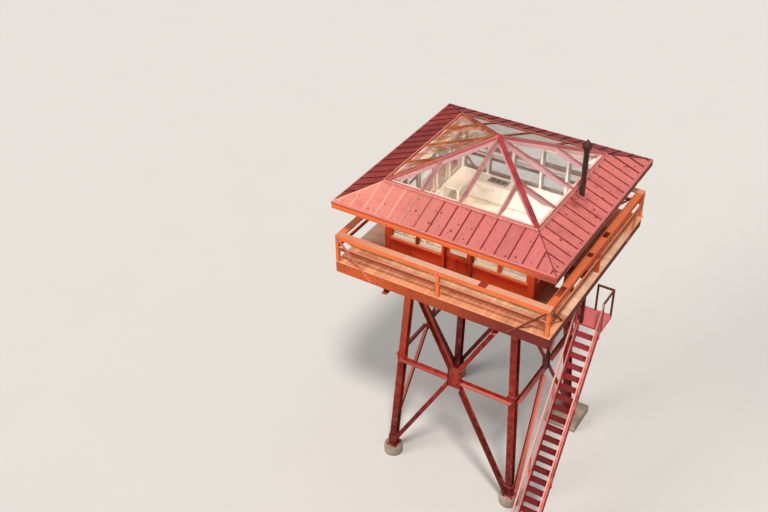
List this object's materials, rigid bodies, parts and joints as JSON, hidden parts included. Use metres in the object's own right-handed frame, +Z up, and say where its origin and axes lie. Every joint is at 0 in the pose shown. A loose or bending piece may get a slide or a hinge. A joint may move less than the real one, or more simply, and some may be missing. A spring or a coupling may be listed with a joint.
{
  "type": "fire lookout tower",
  "caption": "Square lookout cab with a glazed pyramid roof and railed catwalk on a braced, battered steel tower, reached by a steep outside stair.",
  "frame": {"origin": "on the ground, at the bottom centre of the whole object's bounding box", "axes": "+Z up; -Y out of the front face with the door; +X out of the right face with the stair"},
  "size_m": [6.575, 7.1842, 11.18],
  "materials": {
    "red_steel": "satin, weathered",
    "stair_steel": "satin, weathered",
    "orange_wood": "painted, satin",
    "red_wood": "painted, satin",
    "deck_wood": "oiled boards",
    "red_siding": "painted boards",
    "roof_metal": "matt, standing seams",
    "skylight_red": "satin",
    "clear_glass": "clear",
    "concrete": "cast, rough",
    "rafter_wood": "painted",
    "stove_pipe": "matt black",
    "white_counter": "painted white",
    "cooktop_metal": "enamelled, matt"
  },
  "bodies": {
    "root": {"back_bracing": "red_steel", "back_left_leg": "red_steel", "back_railing": "orange_wood", "back_right_leg": "red_steel", "back_wall": "red_siding", "block_pier": "concrete", "cab_door": "red_siding", "cab_floor": "deck_wood", "catwalk_deck": "deck_wood", "chimney_cap": "stove_pipe", "chimney_pipe": "stove_pipe", "cooktop": "cooktop_metal", "counter": "white_counter", "deck_fascia": "red_wood", "eave_fascia": "orange_wood", "eave_rafters": "rafter_wood", "floor_joists": "red_wood", "front_bracing": "red_steel", "front_left_leg": "red_steel", "front_railing": "orange_wood", "front_right_leg": "red_steel", "front_wall": "red_siding", "landing_hangers": "stair_steel", "landing_rail": "stair_steel", "left_bracing": "red_steel", "left_railing": "orange_wood", "left_wall": "red_siding", "railing_braces": "orange_wood", "right_bracing": "red_steel", "right_railing": "orange_wood", "right_wall": "red_siding", "roof_curb": "orange_wood", "roof_slopes": "roof_metal", "round_piers": "concrete", "side_table": "white_counter", "skylight_cap": "skylight_red", "skylight_frame": "skylight_red", "skylight_glass": "clear_glass", "stair_handrails": "stair_steel", "stair_landing": "stair_steel", "stair_stringers": "stair_steel", "stair_treads": "stair_steel", "tower_beams": "red_steel", "window_panes": "clear_glass"}
  },
  "joints": []
}
